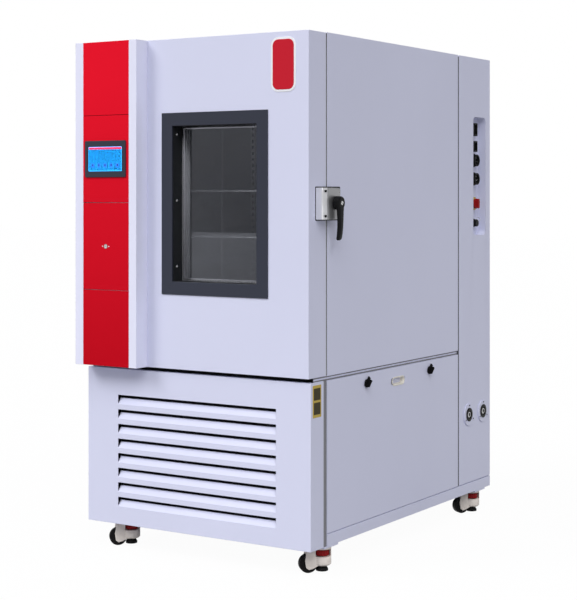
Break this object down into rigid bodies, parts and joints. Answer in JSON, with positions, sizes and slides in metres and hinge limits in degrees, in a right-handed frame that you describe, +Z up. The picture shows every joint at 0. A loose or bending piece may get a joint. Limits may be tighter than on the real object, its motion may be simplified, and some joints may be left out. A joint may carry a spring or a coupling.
{
  "type": "environmental test chamber",
  "caption": "Free-standing climate test chamber with a windowed door, control column and levelling casters.",
  "frame": {"origin": "middle of the bounding box on the floor", "axes": "+X to the latch side, -Y to the door, +Z up"},
  "size_m": [1.078, 1.537, 1.915],
  "materials": {
    "body_paint": "fine satin powder coat",
    "fascia_red": "gloss coat",
    "groove_grey": "satin",
    "frame_grey": "fine matt",
    "stainless": "brushed",
    "latch_metal": "polished",
    "black_plastic": "moulded",
    "red_plastic": "moulded",
    "display": "lit screen",
    "glazing": "clear",
    "seal_rubber": "silicone",
    "tyre_rubber": "moulded tread",
    "caster_casting": "sand-textured paint",
    "foam": "foam",
    "motor_metal": "painted",
    "device_plastic": "moulded"
  },
  "bodies": {
    "cabinet": {"base_frame": "body_paint", "front_louvre_panel": "body_paint", "left_lower_panel": "body_paint", "deck_plate": "groove_grey", "rear_bulkhead": "groove_grey", "right_side_panel": "body_paint", "left_side_panel": "body_paint", "top_panel": "body_paint", "inner_liner": "stainless", "insulation": "foam", "shelf_uprights": "stainless", "air_baffle": "stainless", "air_coils": "stainless", "fan_motor": "motor_metal", "refrigeration_unit": "motor_metal", "control_plate": "device_plastic", "rear_right_panel": "body_paint", "rear_left_panel": "body_paint", "rear_back_panel": "body_paint", "pocket_tray": "body_paint", "service_ports": "black_plastic", "latch_body": "latch_metal", "cabinet_hinge_leaves": "latch_metal"},
    "door": {"door_skin": "body_paint", "door_insulation": "foam", "door_liner": "stainless", "door_gasket": "seal_rubber", "window_frame": "frame_grey", "window_glass": "glazing", "door_hardware": "latch_metal", "column_housing": "body_paint", "fascia_panels": "fascia_red", "touch_screen": "frame_grey"},
    "service_flap": {"service_flap": "fascia_red"},
    "flap_lock": {"flap_lock": "latch_metal"},
    "latch_lever": {"latch_lever": "black_plastic"},
    "isolator_handle": {"isolator_handle": "red_plastic"},
    "access_panel": {"access_panel": "body_paint"},
    "front_panel_latch": {"front_panel_latch": "black_plastic"},
    "rear_panel_latch": {"rear_panel_latch": "black_plastic"},
    "upper_shelf": {"upper_shelf": "stainless"},
    "lower_shelf": {"lower_shelf": "stainless"},
    "circulation_fan": {"circulation_fan": "stainless"},
    "condenser_fan": {"condenser_fan": "motor_metal"},
    "caster_front_right": {"caster_housing_front_right": "caster_casting"},
    "wheel_front_right": {"caster_wheel_front_right": "tyre_rubber"},
    "thumbwheel_front_right": {"thumbwheel_front_right": "red_plastic"},
    "pad_front_right": {"levelling_pad_front_right": "tyre_rubber"},
    "caster_front_left": {"caster_housing_front_left": "caster_casting"},
    "wheel_front_left": {"caster_wheel_front_left": "tyre_rubber"},
    "thumbwheel_front_left": {"thumbwheel_front_left": "red_plastic"},
    "pad_front_left": {"levelling_pad_front_left": "tyre_rubber"},
    "caster_rear_right": {"caster_housing_rear_right": "caster_casting"},
    "wheel_rear_right": {"caster_wheel_rear_right": "tyre_rubber"},
    "thumbwheel_rear_right": {"thumbwheel_rear_right": "red_plastic"},
    "pad_rear_right": {"levelling_pad_rear_right": "tyre_rubber"},
    "caster_rear_left": {"caster_housing_rear_left": "caster_casting"},
    "wheel_rear_left": {"caster_wheel_rear_left": "tyre_rubber"},
    "thumbwheel_rear_left": {"thumbwheel_rear_left": "red_plastic"},
    "pad_rear_left": {"levelling_pad_rear_left": "tyre_rubber"}
  },
  "joints": [
    {"name": "door_hinge", "type": "hinge", "parent": "cabinet", "child": "door", "pos_m": [-0.53, -0.5785, 1.3075], "axis": [0, 0, -1], "range_deg": [0, 110]},
    {"name": "latch_lever_turn", "type": "hinge", "parent": "cabinet", "child": "latch_lever", "pos_m": [0.512, -0.5665, 1.3125], "axis": [-1, 0, 0], "range_deg": [0, 90]},
    {"name": "service_flap_hinge", "type": "hinge", "parent": "door", "child": "service_flap", "pos_m": [-0.4742, -0.7622, 1.14885], "axis": [0, 0, -1], "range_deg": [0, 105]},
    {"name": "flap_lock_turn", "type": "hinge", "parent": "service_flap", "child": "flap_lock", "pos_m": [-0.36825, -0.7635, 1.14885], "axis": [0, 1, 0], "range_deg": [0, 90]},
    {"name": "isolator_turn", "type": "hinge", "parent": "cabinet", "child": "isolator_handle", "pos_m": [0.46, 0.6665, 1.304], "axis": [1, 0, 0], "range_deg": [0, 90]},
    {"name": "access_panel_removal", "type": "slide", "parent": "cabinet", "child": "access_panel", "axis": [1, 0, 0], "range_m": [0, 0.25]},
    {"name": "front_panel_latch_turn", "type": "hinge", "parent": "access_panel", "child": "front_panel_latch", "pos_m": [0.482, -0.298, 0.647], "axis": [1, 0, 0], "range_deg": [0, 90]},
    {"name": "rear_panel_latch_turn", "type": "hinge", "parent": "access_panel", "child": "rear_panel_latch", "pos_m": [0.482, 0.202, 0.647], "axis": [1, 0, 0], "range_deg": [0, 90]},
    {"name": "upper_shelf_slide", "type": "slide", "parent": "cabinet", "child": "upper_shelf", "axis": [0, -1, 0], "range_m": [0, 0.06]},
    {"name": "lower_shelf_slide", "type": "slide", "parent": "cabinet", "child": "lower_shelf", "axis": [0, -1, 0], "range_m": [0, 0.06]},
    {"name": "circulation_fan_spin", "type": "hinge", "parent": "cabinet", "child": "circulation_fan", "pos_m": [0.082, 0.1855, 1.43], "axis": [0, 1, 0], "continuous": true},
    {"name": "condenser_fan_spin", "type": "hinge", "parent": "cabinet", "child": "condenser_fan", "pos_m": [-0.018, -0.4645, 0.332], "axis": [0, 1, 0], "continuous": true},
    {"name": "caster_front_right_swivel", "type": "hinge", "parent": "cabinet", "child": "caster_front_right", "pos_m": [0.442, -0.5445, 0.1], "axis": [0, 0, 1], "continuous": true},
    {"name": "wheel_front_right_spin", "type": "hinge", "parent": "caster_front_right", "child": "wheel_front_right", "pos_m": [0.40523, -0.58127, 0.033], "axis": [0.7071, -0.7071, 0], "continuous": true},
    {"name": "thumbwheel_front_right_turn", "type": "hinge", "parent": "caster_front_right", "child": "thumbwheel_front_right", "pos_m": [0.442, -0.5445, 0.0575], "axis": [0, 0, 1], "range_deg": [-720, 810]},
    {"name": "pad_front_right_travel", "type": "slide", "parent": "caster_front_right", "child": "pad_front_right", "axis": [0, 0, -1], "range_m": [-0.004, 0.0045]},
    {"name": "caster_front_left_swivel", "type": "hinge", "parent": "cabinet", "child": "caster_front_left", "pos_m": [-0.398, -0.5715, 0.1], "axis": [0, 0, 1], "continuous": true},
    {"name": "wheel_front_left_spin", "type": "hinge", "parent": "caster_front_left", "child": "wheel_front_left", "pos_m": [-0.43477, -0.60827, 0.033], "axis": [0.7071, -0.7071, 0], "continuous": true},
    {"name": "thumbwheel_front_left_turn", "type": "hinge", "parent": "caster_front_left", "child": "thumbwheel_front_left", "pos_m": [-0.398, -0.5715, 0.0575], "axis": [0, 0, 1], "range_deg": [-720, 810]},
    {"name": "pad_front_left_travel", "type": "slide", "parent": "caster_front_left", "child": "pad_front_left", "axis": [0, 0, -1], "range_m": [-0.004, 0.0045]},
    {"name": "caster_rear_right_swivel", "type": "hinge", "parent": "cabinet", "child": "caster_rear_right", "pos_m": [0.442, 0.6705, 0.1], "axis": [0, 0, 1], "continuous": true},
    {"name": "wheel_rear_right_spin", "type": "hinge", "parent": "caster_rear_right", "child": "wheel_rear_right", "pos_m": [0.41217, 0.6279, 0.033], "axis": [0.8192, -0.5736, 0], "continuous": true},
    {"name": "thumbwheel_rear_right_turn", "type": "hinge", "parent": "caster_rear_right", "child": "thumbwheel_rear_right", "pos_m": [0.442, 0.6705, 0.0575], "axis": [0, 0, 1], "range_deg": [-720, 810]},
    {"name": "pad_rear_right_travel", "type": "slide", "parent": "caster_rear_right", "child": "pad_rear_right", "axis": [0, 0, -1], "range_m": [-0.004, 0.0045]},
    {"name": "caster_rear_left_swivel", "type": "hinge", "parent": "cabinet", "child": "caster_rear_left", "pos_m": [-0.398, 0.6705, 0.1], "axis": [0, 0, 1], "continuous": true},
    {"name": "wheel_rear_left_spin", "type": "hinge", "parent": "caster_rear_left", "child": "wheel_rear_left", "pos_m": [-0.42783, 0.6279, 0.033], "axis": [0.8192, -0.5736, 0], "continuous": true},
    {"name": "thumbwheel_rear_left_turn", "type": "hinge", "parent": "caster_rear_left", "child": "thumbwheel_rear_left", "pos_m": [-0.398, 0.6705, 0.0575], "axis": [0, 0, 1], "range_deg": [-720, 810]},
    {"name": "pad_rear_left_travel", "type": "slide", "parent": "caster_rear_left", "child": "pad_rear_left", "axis": [0, 0, -1], "range_m": [-0.004, 0.0045]}
  ],
  "couplings": [
    {"joint": "pad_front_right_travel", "follows": "thumbwheel_front_right_turn", "m_per_rad": 0.00031831},
    {"joint": "pad_front_left_travel", "follows": "thumbwheel_front_left_turn", "m_per_rad": 0.00031831},
    {"joint": "pad_rear_right_travel", "follows": "thumbwheel_rear_right_turn", "m_per_rad": 0.00031831},
    {"joint": "pad_rear_left_travel", "follows": "thumbwheel_rear_left_turn", "m_per_rad": 0.00031831}
  ]
}
